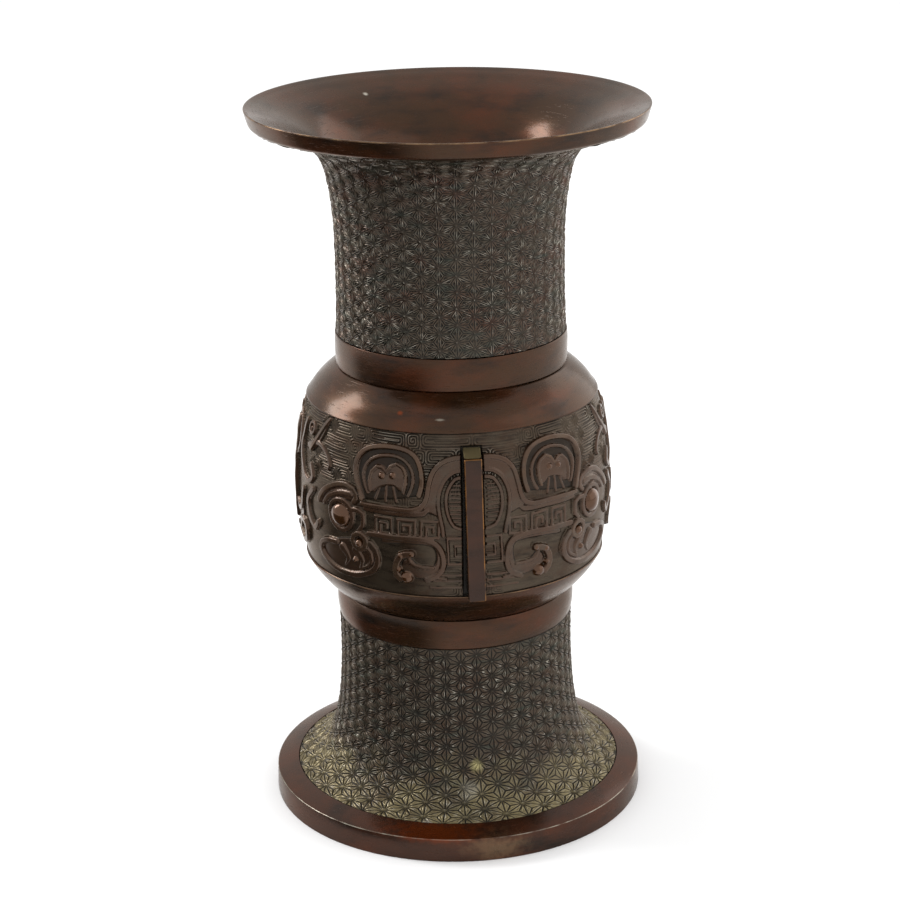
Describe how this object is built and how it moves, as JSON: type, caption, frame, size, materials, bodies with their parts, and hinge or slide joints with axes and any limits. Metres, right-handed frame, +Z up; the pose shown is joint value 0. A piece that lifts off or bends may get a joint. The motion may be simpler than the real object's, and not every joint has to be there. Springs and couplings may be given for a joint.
{
  "type": "flanged trumpet-mouth bronze vase",
  "caption": "Cast bronze vase in gu form with a trumpet mouth, a drum carrying two beast masks between upright flanges, and a flared foot in a heavy ring",
  "frame": {"origin": "centre of the base ring's underside, on the floor", "axes": "+Z up along the vase's axis, flanges on +Y and -Y, masks facing +X and -X"},
  "size_m": [0.1974, 0.1974, 0.36],
  "materials": {
    "polished_bronze": "smooth brown patina with red and violet clouds, satin polished",
    "dark_bronze": "dark grey-brown patina, rubbed bright on the raised ornament",
    "green_bronze": "dusty olive-green patina in the chased ornament",
    "rubbed_bronze": "brown patina with golden rubbed edges",
    "solder": "dull grey soft solder"
  },
  "bodies": {
    "root": {"base_ring": "polished_bronze", "foot": "green_bronze", "base_solder_fillet": "solder", "lower_collar": "polished_bronze", "floor_disc": "dark_bronze", "floor_solder_fillet": "solder", "drum": "dark_bronze", "flange_front": "rubbed_bronze", "flange_back": "rubbed_bronze", "upper_collar": "polished_bronze", "neck": "dark_bronze"}
  },
  "joints": []
}
